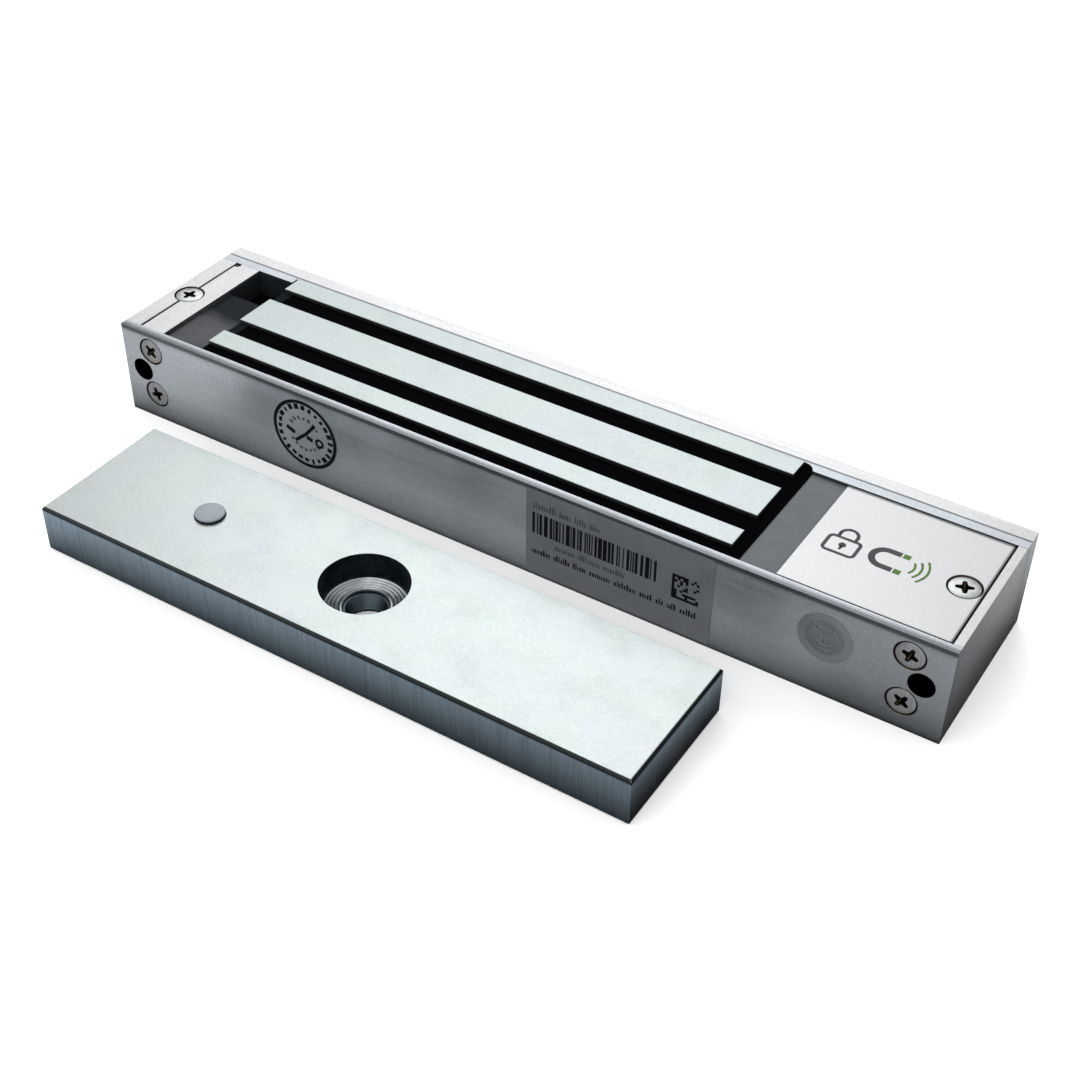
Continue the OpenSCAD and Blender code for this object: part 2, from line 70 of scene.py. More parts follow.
class Finish:
    """A procedural material: a Principled shader fed by patterns on the piece's own coordinates."""

    def __init__(self, name, **constants):
        self.material = bpy.data.materials.new(name)
        self.material.use_nodes = True
        self.tree = self.material.node_tree
        self.shader = self.tree.nodes["Principled BSDF"]
        self.coords = self.add("ShaderNodeTexCoord").outputs
        for socket, value in constants.items():
            self.shader.inputs[socket.replace("_", " ")].default_value = value

    def add(self, kind, **settings):
        node = self.tree.nodes.new(kind)
        for key, value in settings.items():
            setattr(node, key, value)
        return node

    def link(self, source, target):
        self.tree.links.new(source, target)

    def noise(self, scale, stretch=(1, 1, 1), detail=3.0, rough=0.55, shift=(0, 0, 0)):
        """Noise with `scale` cells to the metre along an axis whose stretch is 1."""
        mapping = self.add("ShaderNodeMapping")
        mapping.inputs["Scale"].default_value = stretch
        mapping.inputs["Location"].default_value = shift
        self.link(self.coords["Object"], mapping.inputs["Vector"])
        node = self.add("ShaderNodeTexNoise")
        node.inputs["Scale"].default_value = scale
        node.inputs["Detail"].default_value = detail
        node.inputs["Roughness"].default_value = rough
        self.link(mapping.outputs[0], node.inputs["Vector"])
        return node.outputs[0]

    def remap(self, value, low, high, to_low, to_high):
        """Value scaled from one range to another and held inside it."""
        node = self.add("ShaderNodeMapRange")
        for socket, number in zip(list(node.inputs)[1:5], (low, high, to_low, to_high)):
            socket.default_value = number
        self.link(value, node.inputs[0])
        return node.outputs[0]

    def math(self, operation, a, b=None):
        node = self.add("ShaderNodeMath", operation=operation)
        for socket, value in zip(node.inputs, (a, b)):
            if isinstance(value, (int, float)):
                socket.default_value = value
            elif value is not None:
                self.link(value, socket)
        return node.outputs[0]

    def axis(self, output, letter):
        """One component of a texture coordinate."""
        node = self.add("ShaderNodeSeparateXYZ")
        self.link(self.coords[output], node.inputs[0])
        return node.outputs["XYZ".index(letter)]

    def ramp(self, value, stops):
        """Colour at the value, blended between (place, colour) stops."""
        node = self.add("ShaderNodeValToRGB")
        elements = node.color_ramp.elements
        while len(elements) < len(stops):
            elements.new(0.5)
        for element, (place, colour) in zip(elements, stops):
            element.position = place
            element.color = (*colour, 1)
        self.link(value, node.inputs[0])
        return node.outputs[0]

    def mix(self, factor, a, b, blend="MIX"):
        """Blend of two colours, each a tuple or a socket."""
        node = self.add("ShaderNodeMix", data_type="RGBA", blend_type=blend)
        sockets = [s for s in node.inputs if s.enabled]
        for socket, value in zip(sockets, (factor, a, b)):
            if isinstance(value, (int, float)):
                socket.default_value = value
            elif isinstance(value, tuple):
                socket.default_value = (*value, 1)
            else:
                self.link(value, socket)
        return next(s for s in node.outputs if s.enabled)

    def greys(self, value, stops):
        """Like ramp, with a grey level at each stop."""
        return self.ramp(value, [(place, (level, level, level)) for place, level in stops])

    def near_axis(self, point, across, radius):
        """1 within the radius of a line through the point; `across` is 1 on the axes square to the line."""
        offset = self.add("ShaderNodeVectorMath", operation="SUBTRACT")
        self.link(self.coords["Object"], offset.inputs[0])
        offset.inputs[1].default_value = point
        flat = self.add("ShaderNodeVectorMath", operation="MULTIPLY")
        self.link(offset.outputs[0], flat.inputs[0])
        flat.inputs[1].default_value = across
        length = self.add("ShaderNodeVectorMath", operation="LENGTH")
        self.link(flat.outputs[0], length.inputs[0])
        return self.math("LESS_THAN", length.outputs["Value"], radius)

    def seam(self, colour, letter, place, width, strength):
        """Paints a soft line of shade on upward faces, where the axis crosses the place."""
        away = self.math("ABSOLUTE", self.math("SUBTRACT", self.axis("Object", letter), place))
        seam_shade_weight = self.remap(away, width * 0.35, width, strength, 0)
        on_top = self.remap(self.axis("Normal", "Z"), 0.75, 0.95, 0, 1)
        return self.mix(self.math("MULTIPLY", seam_shade_weight, on_top), colour, SEAM_SHADE)

    def paint_side_light_and_shade(self, colour, box, tones):
        """Paints light and shade on upright faces, multiplying them by grey levels that run across the box:
        `tones` holds, for the long sides and then for the X ends, the levels by height and the levels from one
        edge to the other."""
        place = {letter: self.remap(self.axis("Object", letter), box[0][i], box[1][i], 0, 1)
                 for i, letter in enumerate("XYZ")}
        sides, ends = [
            self.mix(1.0, self.greys(place["Z"], by_height), self.greys(place[letter], by_run), "MULTIPLY")
            for letter, by_height, by_run in zip("XY", tones[::2], tones[1::2])]
        end_face = self.remap(self.math("ABSOLUTE", self.axis("Normal", "X")), 0.6, 0.8, 0, 1)
        upright = self.remap(self.math("ABSOLUTE", self.axis("Normal", "Z")), 0.75, 0.95, 1, 0)
        tone = self.mix(end_face, sides, ends)
        return self.mix(upright, colour, self.mix(1.0, colour, tone, "MULTIPLY"))

    def colour(self, value):
        self.link(value, self.shader.inputs["Base Color"])

    def roughness(self, value):
        self.link(value, self.shader.inputs["Roughness"])

    def bump(self, *layers):
        """Layers of (height, depth in metres), each on top of the last."""
        normal = None
        for height, depth in layers:
            node = self.add("ShaderNodeBump")
            node.inputs["Strength"].default_value = 1
            node.inputs["Distance"].default_value = depth
            self.link(height, node.inputs["Height"])
            if normal:
                self.link(normal, node.inputs["Normal"])
            normal = node.outputs[0]
        self.link(normal, self.shader.inputs["Normal"])


EDGE_TINT = (0.5, 0.5, 0.5, 1)
# colour of the painted shade along seams
SEAM_SHADE = (0.004, 0.004, 0.005)
BOLT_BORE_SHADE = (0.006, 0.006, 0.007)
BORE_SHADE = (0.018, 0.024, 0.028)
WIRE_PITCH = 0.5 * MM


def shade(colour, factor):
    return tuple(c * factor for c in colour)


def anodised(name, colour, grain=(0.03, 1, 1), sparkle=0.5e-6, seams=()):
    """Satin aluminium: cloudy tone, fine extrusion lines, a sand-fine grain, painted shade along the seams,
    painted light and shade on the upright sides, painted shade in the bolt bores.
    """
    f = Finish(name, Metallic=1.0, Specular_Tint=EDGE_TINT)
    cloud = f.noise(45, detail=4)
    grit = f.noise(5200, detail=2)
    lines = f.noise(1500, stretch=grain, detail=3)
    base = f.ramp(cloud, [(0.3, shade(colour, 0.9)), (0.7, shade(colour, 1.08))])
    speck = f.greys(f.math("ADD", f.math("MULTIPLY", grit, 0.5), f.math("MULTIPLY", f.noise(1500), 0.5)),
                    [(0.38, 0.88), (0.62, 1.1)])
    tone = f.mix(1.0, base, speck, "MULTIPLY")
    # painted shade along the seams
    for seam in seams:
        tone = f.seam(tone, *seam)
    # painted light and shade on the upright sides
    tone = f.paint_side_light_and_shade(tone, BODY_BOX, BODY_TONES)
    # painted shade inside the bolt bores
    bores = [f.near_axis(point, (1, 0, 1), BOLT_BORE) for point in BOLT_AXES]
    f.colour(f.mix(f.math("MAXIMUM", *bores), tone, BOLT_BORE_SHADE))
    f.roughness(f.remap(f.math("ADD", lines, cloud), 0.7, 1.3, 0.38, 0.5))
    f.bump((lines, 1.2e-6), (grit, sparkle * 4))
    return f.material


def zinc(name, colour, side, streak=1500, bore=None):
    """Zinc plated steel: clouded bluish and greenish plating on the faces, vertical cut marks on the sides,
    which take their own colour; where that is darker, it is painted shade.
    """
    f = Finish(name, Metallic=1.0, Specular_Tint=EDGE_TINT)
    cloud = f.noise(95, detail=5, rough=0.6)
    tint = f.noise(60, detail=2, shift=(3, 1, 2))
    grit = f.noise(3600, detail=2)
    face = f.mix(f.remap(tint, 0.4, 0.62, 0, 1), (1.0, 1.015, 1.035), (0.985, 1.035, 1.0))
    tone = f.ramp(cloud, [(0.25, shade(colour, 0.86)), (0.5, colour), (0.75, shade(colour, 1.1))])
    top = f.mix(1.0, tone, face, "MULTIPLY")
    cut = f.noise(streak, stretch=(1, 1, 0.03), detail=4, rough=0.7)
    # the side colour, darker than the faces on the core and the armature, is painted shade on upright faces;
    # the cut marks are real
    wall = f.ramp(cut, [(0.3, shade(side, 0.8)), (0.5, side), (0.72, shade(side, 1.22))])
    level = f.math("ABSOLUTE", f.axis("Normal", "Z"))
    flat = f.remap(level, 0.35, 0.8, 0, 1)
    speck = f.greys(f.math("ADD", f.math("MULTIPLY", grit, 0.4), f.math("MULTIPLY", f.noise(1300), 0.6)),
                    [(0.35, 0.92), (0.65, 1.06)])
    tone = f.mix(1.0, f.mix(flat, wall, top), speck, "MULTIPLY")
    # painted light and shade on the plate's upright sides, and painted shade inside the counterbore
    if bore:
        tone = f.paint_side_light_and_shade(tone, PLATE_BOX, PLATE_TONES)
        tone = f.mix(f.near_axis(*bore), tone, BORE_SHADE)
    f.colour(tone)
    rough = f.remap(cloud, 0.3, 0.7, 0.34, 0.46)
    f.roughness(rough)
    sideways = f.math("MULTIPLY", cut, f.math("SUBTRACT", 1.0, flat))
    f.bump((sideways, 9e-6), (grit, 1.4e-6), (cloud, 4e-6))
    return f.material


def steel(name, colour, rough=0.3):
    """Bare cut steel with a mottled tone."""
    f = Finish(name, Metallic=1.0)
    cloud = f.noise(400, detail=4)
    f.colour(f.ramp(cloud, [(0.3, shade(colour, 0.7)), (0.7, shade(colour, 1.25))]))
    f.roughness(f.remap(cloud, 0.3, 0.7, rough, rough + 0.15))
    f.bump((f.noise(2600, detail=2), 4e-6))
    return f.material


def plastic(name, colour, rough=0.45, grain=1800, depth=3e-6, vary=0.12, **constants):
    """Moulded or cast polymer with a faint cloud and a fine texture."""
    f = Finish(name, **constants)
    cloud = f.noise(140, detail=4)
    skin = f.noise(grain, detail=3)
    f.colour(f.ramp(cloud, [(0.3, shade(colour, 1 - vary)), (0.7, shade(colour, 1 + vary))]))
    f.roughness(f.remap(skin, 0.3, 0.7, rough - 0.06, rough + 0.08))
    f.bump((skin, depth), (cloud, depth * 3))
    return f.material


def left_resin(name, colour, dark, y_from, y_to):
    """Grey casting resin with painted shade that darkens it smoothly from y_from to y_to."""
    f = Finish(name, IOR=1.06)
    cloud = f.noise(170, detail=4)
    along = f.math("ADD", f.axis("Object", "Y"), f.remap(cloud, 0.3, 0.7, -2 * MM, 2 * MM))
    tone = f.ramp(f.remap(along, y_from, y_to, 0, 1), [(0.3, colour), (0.9, dark)])
    veil = f.ramp(cloud, [(0.3, (0.85, 0.85, 0.85)), (0.7, (1.12, 1.12, 1.12))])
    f.colour(f.mix(1.0, tone, veil, "MULTIPLY"))
    f.roughness(f.remap(cloud, 0.3, 0.7, 0.42, 0.58))
    f.bump((f.noise(1500), 4e-6), (cloud, 2e-5))
    return f.material


def winding_wire(name, colour):
    """Enamelled wire, its turns laid flat one above another."""
    f = Finish(name, Metallic=0.6, Coat_Weight=0.4)
    height = f.axis("Object", "Z")
    turns = f.math("SINE", f.math("MULTIPLY", height, math.tau / WIRE_PITCH))
    cloud = f.noise(300)
    f.colour(f.ramp(cloud, [(0.3, shade(colour, 0.7)), (0.7, shade(colour, 1.2))]))
    f.roughness(f.remap(cloud, 0.3, 0.7, 0.25, 0.4))
    f.bump((turns, 8e-5))
    return f.material


SILVER = (0.28, 0.298, 0.318)
PALE_SILVER = (0.31, 0.315, 0.322)
STEEL = (0.268, 0.283, 0.285)
# colour of the armature's upright sides, a darker copy of STEEL as painted shade
STEEL_SHADED_SIDE = (0.112, 0.142, 0.168)

# Levels of painted light and shade for upright faces: long sides by height and from left to right, ends by
# height and from front to back
BODY_BOX = (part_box("housing")[0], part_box("mounting_plate")[1])
BODY_TONES = [
    [(0, 0.1), (0.03, 0.34), (0.07, 0.56), (0.2, 0.86), (0.4, 1.24), (0.9, 1.42), (0.94, 1.25),
     (0.965, 0.36)],
    [(0, 0.7), (0.14, 0.78), (0.24, 1.12), (0.72, 0.98), (0.8, 0.85), (0.9, 0.48)],
    [(0, 0.03), (0.08, 0.08), (0.28, 0.24), (0.53, 0.62), (0.77, 0.86), (0.95, 0.96)],
    [(0, 0.4), (0.21, 0.55), (0.5, 0.76), (0.69, 0.9), (1, 1.08)],
]
PLATE_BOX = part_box("armature_plate")
PLATE_TONES = [
    [(0, 0.2), (0.2, 0.5), (0.65, 0.98), (0.9, 1.2), (0.94, 0.09)],
    [(0, 1.2), (0.45, 0.95), (0.75, 0.76), (1, 0.72)],
    [(0, 0.03), (0.21, 0.06), (0.6, 0.6), (0.8, 1.15), (0.9, 1.35), (0.94, 0.08)],
    [(0, 0.5), (0.27, 0.68), (0.75, 1.0), (1, 1.1)],
]

hole = mounts["armature_bore"]
counterbore = mounts["armature_counterbore"]
bolts_low, bolts_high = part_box("mounting_bolts")
BOLT_HEAD, BOLT_BORE = 3.2 * MM, 3.46 * MM
PIN_R, PIN_FLANGE = 4 * MM, 2 * MM
BOLT_AXES = [(x, 0, centre("mounting_bolts").z)
             for x in (bolts_low.x + BOLT_HEAD, bolts_high.x - BOLT_HEAD)]
BORE = (tuple(hole["pos_m"]), (1, 1, 0), (counterbore["dims"]["r_mm"] + 0.06) * MM)

# Lines of painted shade where parts meet, for the Finish method that paints them: axis, place along it, half
# width, strength
FRONT_SEAM = ("Y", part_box("housing")[0].y, 2.2 * MM, 0.62)
BACK_SEAM = ("Y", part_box("mounting_plate")[0].y, 0.5 * MM, 0.6)
GROOVE_SEAM = ("X", centre("left_end_screw").x, 0.6 * MM, 0.45)
cover_low, cover_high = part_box("cover_plate")
COVER_SEAMS = [("Y", cover_high.y, 1.1 * MM, 0.8), ("X", cover_high.x, 0.6 * MM, 0.7),
               ("Y", cover_low.y, 0.35 * MM, 0.5)]
RESIN_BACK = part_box("resin_left")[1].y

FINISHES = {
    "housing": anodised("anodised_channel", SILVER, seams=[FRONT_SEAM, BACK_SEAM]),
    "mounting_plate": anodised("anodised_backing", shade(PALE_SILVER, 1.1), seams=[BACK_SEAM]),
    "end_blocks": anodised("anodised_blocks", shade(PALE_SILVER, 1.06), grain=(1, 0.05, 1),
                           seams=[GROOVE_SEAM]),
    "cover_plate": anodised("blasted_cover", shade(PALE_SILVER, 1.03), grain=(1, 1, 1), sparkle=1.5e-6,
                            seams=COVER_SEAMS),
    "screws": zinc("screw_zinc", (0.31, 0.31, 0.312), (0.3, 0.305, 0.31)),
    # the front screws get a darker copy of the screw zinc: painted shade
    "side_screws": zinc("front_screw_shade_zinc", (0.19, 0.195, 0.2), (0.17, 0.175, 0.18)),
    "dark_steel": zinc("bolt_steel", (0.06, 0.062, 0.066), (0.05, 0.05, 0.055)),
    # the pole sides take a darker copy of the pole colour: painted shade
    "core": zinc("pole_zinc", (0.244, 0.259, 0.264), (0.11, 0.12, 0.125), streak=2200),
    "coil_bobbin": plastic("bobbin_nylon", (0.004, 0.006, 0.007), rough=0.55, IOR=1.06),
    "coil_winding": winding_wire("winding_enamel", (0.35, 0.12, 0.04)),
    "potting": plastic("potting_epoxy", (0.001, 0.0011, 0.0016), rough=0.5, IOR=1.02, depth=8e-6),
    "resin": plastic("resin_grey", (0.076, 0.082, 0.088), rough=0.55, depth=6e-6, IOR=1.3),
    # a black sheet at the back of the left pocket: painted shade
    "pocket_liner": plastic("pocket_shade_black", (0.01, 0.012, 0.014), rough=0.6, IOR=1.06),
    "circuit_board": plastic("solder_mask", (0.006, 0.055, 0.022), rough=0.3, grain=900),
    "board_posts": plastic("post_nylon", (0.5, 0.5, 0.47), rough=0.5),
    "terminal_block": plastic("terminal_green", (0.012, 0.13, 0.045), rough=0.4),
    "varistor": plastic("varistor_blue", (0.01, 0.045, 0.22), rough=0.35),
    "diode": plastic("diode_black", (0.012, 0.012, 0.013), rough=0.35),
    "coil_leads": plastic("lead_red", (0.3, 0.012, 0.01), rough=0.45),
    "wire_grommet": plastic("grommet_rubber", (0.012, 0.012, 0.013), rough=0.7, depth=6e-6),
    "armature_plate": zinc("armature_zinc", STEEL, STEEL_SHADED_SIDE, bore=BORE),
    "release_pin": plastic("pin_grey", (0.15, 0.175, 0.2), rough=0.45, depth=3e-6),
    "release_spring": steel("spring_steel", (0.2, 0.2, 0.21)),
    # painted shade darkens the left resin towards the back of the pocket
    "left_resin": left_resin("resin_left_grey", (0.062, 0.064, 0.069), (0.0105, 0.0125, 0.0145),
                             RESIN_BACK - 19 * MM, RESIN_BACK - 7 * MM),
}
INK = plastic("ink_black", (0.0035, 0.004, 0.006), rough=0.5, IOR=1.06)
FADED_INK = plastic("ink_grey", (0.035, 0.037, 0.041), rough=0.5, IOR=1.2)
GREEN_INK = plastic("ink_green", (0.055, 0.115, 0.02), rough=0.5, IOR=1.2)
LABEL_FILM = plastic("label_film", (0.07, 0.076, 0.084), rough=0.45, grain=2500, depth=2e-6)
SEAL_FILM = plastic("seal_film", (0.14, 0.15, 0.16), rough=0.45, grain=2500, depth=2e-6)
TAMPER_RIM = plastic("tamper_rim_film", (0.066, 0.073, 0.08), rough=0.4, grain=900, depth=1e-6)
TAMPER_FILM = plastic("tamper_film", (0.042, 0.047, 0.052), rough=0.4, grain=900, depth=1e-6, vary=0.3)
# dark zinc standing for the shade in screw recesses and in the gaps round heads
RECESS_SHADE = zinc("recess_shade", (0.02, 0.015, 0.01), (0.012, 0.009, 0.006))
SOLDER = zinc("solder_tin", (0.4, 0.4, 0.41), (0.35, 0.35, 0.36))


# ---------------------------------------------------------------- mesh tools

def circle_points(radius, count):
    """(x, y) points evenly round a circle about the origin."""
    return [(radius * math.cos(math.tau * i / count), radius * math.sin(math.tau * i / count))
            for i in range(count)]


ROUND, SCREW_ROUND = 96, 72  # sides of round shapes


def lathe(bm, profile, place, sides=ROUND, material=0, closed=False):
    """Turns (radius, height) points about place's Z axis; a zero radius is a single point."""
    points = profile + profile[:1] if closed else profile
    rings = []
    for radius, height in points:
        corners = circle_points(radius, sides) if radius > 0 else [(0, 0)]
        rings.append([bm.verts.new(place @ Vector((x, y, height))) for x, y in corners])
    for lower, upper in zip(rings, rings[1:]):
        for i in range(sides):
            j = (i + 1) % sides
            quad = [lower[i % len(lower)], lower[j % len(lower)],
                    upper[j % len(upper)], upper[i % len(upper)]]
            face = bm.faces.new(list(dict.fromkeys(quad)))
            face.material_index = material


def slab(bm, outline, place, height, material=0):
    """Flat shape with the outline's (x, y) points, from place's plane up to the height."""
    top = [bm.verts.new(place @ Vector((x, y, height))) for x, y in outline]
    base = [bm.verts.new(place @ Vector((x, y, 0))) for x, y in outline]
    faces = [bm.faces.new(top), bm.faces.new(base[::-1])]
    count = len(outline)
    for i in range(count):
        j = (i + 1) % count
        faces.append(bm.faces.new([base[i], base[j], top[j], top[i]]))
    for face in faces:
        face.material_index = material


def rectangle(x0, y0, x1, y1):
    """Outline from one corner to the opposite one."""
    return [(x0, y0), (x1, y0), (x1, y1), (x0, y1)]


def rounded(x0, y0, x1, y1, r, steps=6):
    """Outline of a rectangle with corners of radius r."""
    points = []
    for cx, cy, start in ((x1 - r, y1 - r, 0), (x0 + r, y1 - r, 90),
                          (x0 + r, y0 + r, 180), (x1 - r, y0 + r, 270)):
        for i in range(steps + 1):
            a = math.radians(start + 90 * i / steps)
            points.append((cx + r * math.cos(a), cy + r * math.sin(a)))
    return points


def stroke(bm, points, width, place, height, material=0, closed=False):
    """Ribbon of even width along a path of (x, y) points."""
    path = [Vector(p) for p in points]
    count = len(path)
    left, right = [], []
    for i, p in enumerate(path):
        before = path[i - 1] if i > 0 or closed else p
        after = path[(i + 1) % count] if i < count - 1 or closed else p
        along = (after - before).normalized()
        side = Vector((-along.y, along.x)) * width / 2
        left.append(p + side)
        right.append(p - side)
    for i in range(count if closed else count - 1):
        j = (i + 1) % count
        slab(bm, [right[i], right[j], left[j], left[i]], place, height, material)


def arc(cx, cy, r, start, end, steps=24):
    """Points on an arc, angles in degrees."""
    return [(cx + r * math.cos(math.radians(start + (end - start) * i / steps)),
             cy + r * math.sin(math.radians(start + (end - start) * i / steps))) for i in range(steps + 1)]


def finish_piece(name, bm, materials, body, replaced=(), smooth=35):
    """Turns the bmesh into a piece that rides on the body."""
    bmesh.ops.remove_doubles(bm, verts=bm.verts, dist=1e-7)
    bmesh.ops.recalc_face_normals(bm, faces=bm.faces)
    mesh = bpy.data.meshes.new(name)
    bm.to_mesh(mesh)
    bm.free()
    for material in materials:
        mesh.materials.append(material)
    mesh.shade_smooth()
    mesh.set_sharp_from_angle(angle=math.radians(smooth))
    piece = bpy.data.objects.new(name, mesh)
    scene.collection.objects.link(piece)
    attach(piece, body)
    if replaced:
        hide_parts(*replaced)
    return piece


def facing(point, normal, up):
    """Placement whose Z axis is the normal, with its Y axis towards up."""
    z = Vector(normal).normalized()
    x = Vector(up).cross(z).normalized()
    y = z.cross(x)
    place = Matrix((x, y, z)).transposed().to_4x4()
    place.translation = point
    return place


FRONT = (0, -1, 0)
UP = (0, 0, 1)
DOWN = (0, 0, -1)
BACKWARD = (0, 1, 0)


# ---------------------------------------------------------------- screws

HEAD_R, HEAD_DEPTH, SHANK_R = 4.1 * MM, 2.1 * MM, 2 * MM
RIM_GAP, RIM_SINK = 0.45 * MM, 0.1 * MM  # width of the ring of painted shade round a head, depth of its face


def cross_outline(reach, half, inner):
    """Outline of a cross recess: four arms with flared roots."""
    quarter = [(reach * 0.93, -half), (reach, 0), (reach * 0.93, half), (inner, inner)]
    points = []
    for turn in range(4):
        c, s = [(1, 0), (0, 1), (-1, 0), (0, -1)][turn]
        points += [(x * c - y * s, x * s + y * c) for x, y in quarter]
    return points


def phillips(bm, place, head_r, length, turn):
    """Countersunk screw, its face at place's plane; material 0 is plated steel, 1 the painted shade in the
    recess and in the gap round the head.
    """
    edge, overlap = 0.25 * MM, 0.05 * MM
    spin = place @ Matrix.Rotation(math.radians(turn), 4, "Z")
    lathe(bm, [(head_r - edge, 0), (head_r, -edge * 0.6), (head_r, -edge - 0.15 * MM), (SHANK_R, -HEAD_DEPTH),
               (SHANK_R, -length + SHANK_R * 0.4), (SHANK_R * 0.6, -length), (0, -length)], spin,
          SCREW_ROUND)
    # a flat ring of painted shade in the gap round the head
    lathe(bm, [(head_r - overlap, RIM_SINK - RIM_GAP), (head_r + RIM_GAP - overlap, RIM_SINK - 0.01 * MM)],
          spin, SCREW_ROUND, 1)
    mouth = cross_outline(head_r * 0.6, head_r * 0.13, head_r * 0.2)
    waist = cross_outline(head_r * 0.5, head_r * 0.085, head_r * 0.15)
    floor = cross_outline(head_r * 0.2, head_r * 0.05, head_r * 0.06)
    # cross recess walls and floor in painted shade
    rings = []
    for outline, depth in ((mouth, 0), (waist, 0.35 * HEAD_DEPTH), (floor, 0.8 * HEAD_DEPTH)):
        rings.append([bm.verts.new(spin @ Vector((x, y, -depth))) for x, y in outline])
    count = len(mouth)
    for upper, lower in zip(rings, rings[1:]):
        for i in range(count):
            j = (i + 1) % count
            face = bm.faces.new([upper[i], upper[j], lower[j], lower[i]])
            face.material_index = 1
    cap = bm.faces.new(rings[2])
    cap.material_index = 1
    rim = [bm.verts.new(spin @ Vector((x, y, 0))) for x, y in circle_points(head_r - edge, SCREW_ROUND)]
    loop = [bm.edges.new((rim[i], rim[(i + 1) % SCREW_ROUND])) for i in range(SCREW_ROUND)]
    loop += [bm.edges.get((rings[0][i], rings[0][(i + 1) % count])) for i in range(count)]
    bmesh.ops.triangle_fill(bm, use_beauty=True, use_dissolve=False, edges=loop)


def screws(name, node, places, head_r, length, body, finish="screws"):
    """One piece with a screw at each place, each turned to its own angle."""
    bm = bmesh.new()
    rng = random.Random(len(name) * 31)
    for place in places:
        sunk = place @ Matrix.Translation((0, 0, -RIM_SINK))
        phillips(bm, sunk, head_r - RIM_GAP, length, rng.uniform(0, 90))
    finish_piece(name, bm, [FINISHES[finish], RECESS_SHADE], body, [node])


def build_screws():
    """Cross-recess screws at both ends of the front, on the left block and the cover, and under the core."""
    low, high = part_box("side_screws")
    places = [facing((x, low.y, z), FRONT, UP)
              for x in (low.x + HEAD_R, high.x - HEAD_R) for z in (low.z + HEAD_R, high.z - HEAD_R)]
    screws("phillips_side_screws", "side_screws", places, HEAD_R, 11.5 * MM, "lock_body", "side_screws")
    for name, node, body in (("phillips_end_screw", "left_end_screw", "lock_body"),
                             ("phillips_cover_screw", "cover_screw", "cover")):
        low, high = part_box(node)
        top = centre(node)
        top.z = high.z
        screws(name, node, [facing(top, UP, BACKWARD)], (high.x - low.x) / 2, 7.6 * MM, body)
    low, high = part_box("core_screws")
    y = (low.y + high.y) / 2
    xs = (low.x + HEAD_R, (low.x + high.x) / 2, high.x - HEAD_R)
    screws("phillips_core_screws", "core_screws", [facing((x, y, low.z), DOWN, BACKWARD) for x in xs],
           HEAD_R, 7.4 * MM, "lock_body")


# ---------------------------------------------------------------- stickers and prints

PRINT = 0.02 * MM  # thickness of the ink
WORD_LENGTHS, WORD_GAP = (2.2, 6.5), 0.9
MARK_WIDTHS, MARK_HEIGHTS, MARK_GAP = (0.3, 0.4, 0.52), (0.62, 0.7, 1.0), (0.22, 0.36)
BAR_WIDTHS, BAR_GAPS = (0.3, 0.4, 0.65, 0.75, 1.1), (0.28, 0.35, 0.6, 0.8)


def word_marks(bm, place, x, y, length, tall, rng, material=0):
    """A row of short upright ticks in word-long groups, standing for small print."""
    end = x + length
    while x < end:
        word = min(rng.uniform(*WORD_LENGTHS) * MM, end - x)
        stop = x + word
        while x < stop:
            wide = rng.choice(MARK_WIDTHS) * MM
            high = tall * rng.choice(MARK_HEIGHTS)
            slab(bm, rectangle(x, y, x + wide, y + high), place, PRINT, material)
            x += wide + rng.uniform(*MARK_GAP) * MM
        x += WORD_GAP * MM


def build_serial_label():
    """Rectangular sticker with random bars, a random block of squares and three rows of small print."""
    low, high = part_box("serial_label")
    length, tall = high.x - low.x, high.z - low.z
    face = facing((low.x, high.y, low.z), FRONT, UP)
    bm = bmesh.new()
    slab(bm, rounded(0, 0, length, tall, 0.8 * MM), face, high.y - low.y)
    finish_piece("serial_sticker", bm, [LABEL_FILM], "lock_body", ["serial_label"])
    rng = random.Random(41)
    printed = facing((low.x, low.y, low.z), FRONT, UP)
    bm = bmesh.new()
    x, bars_end = 1.9 * MM, 37.5 * MM
    while x < bars_end:
        wide = rng.choice(BAR_WIDTHS) * MM
        slab(bm, rectangle(x, 13 * MM, x + wide, 19.6 * MM), printed, PRINT)
        x += wide + rng.choice(BAR_GAPS) * MM
    cells, cell, block_x, block_y = 10, 0.75 * MM, 42.2 * MM, 10.5 * MM
    for i in range(cells):
        for j in range(cells):
            if i == 0 or j == 0 or rng.random() < 0.45:
                x0, y0 = block_x + i * cell, block_y + j * cell
                slab(bm, rectangle(x0, y0, x0 + cell, y0 + cell), printed, PRINT)
    word_marks(bm, printed, 1.9 * MM, 6.4 * MM, 47 * MM, 1.9 * MM, rng)
    word_marks(bm, printed, 2.2 * MM, 20.9 * MM, 19 * MM, 2.2 * MM, rng, 1)
    word_marks(bm, printed, 8.6 * MM, 9.9 * MM, 20 * MM, 1.8 * MM, rng, 1)
    finish_piece("serial_print", bm, [INK, FADED_INK], "lock_body")


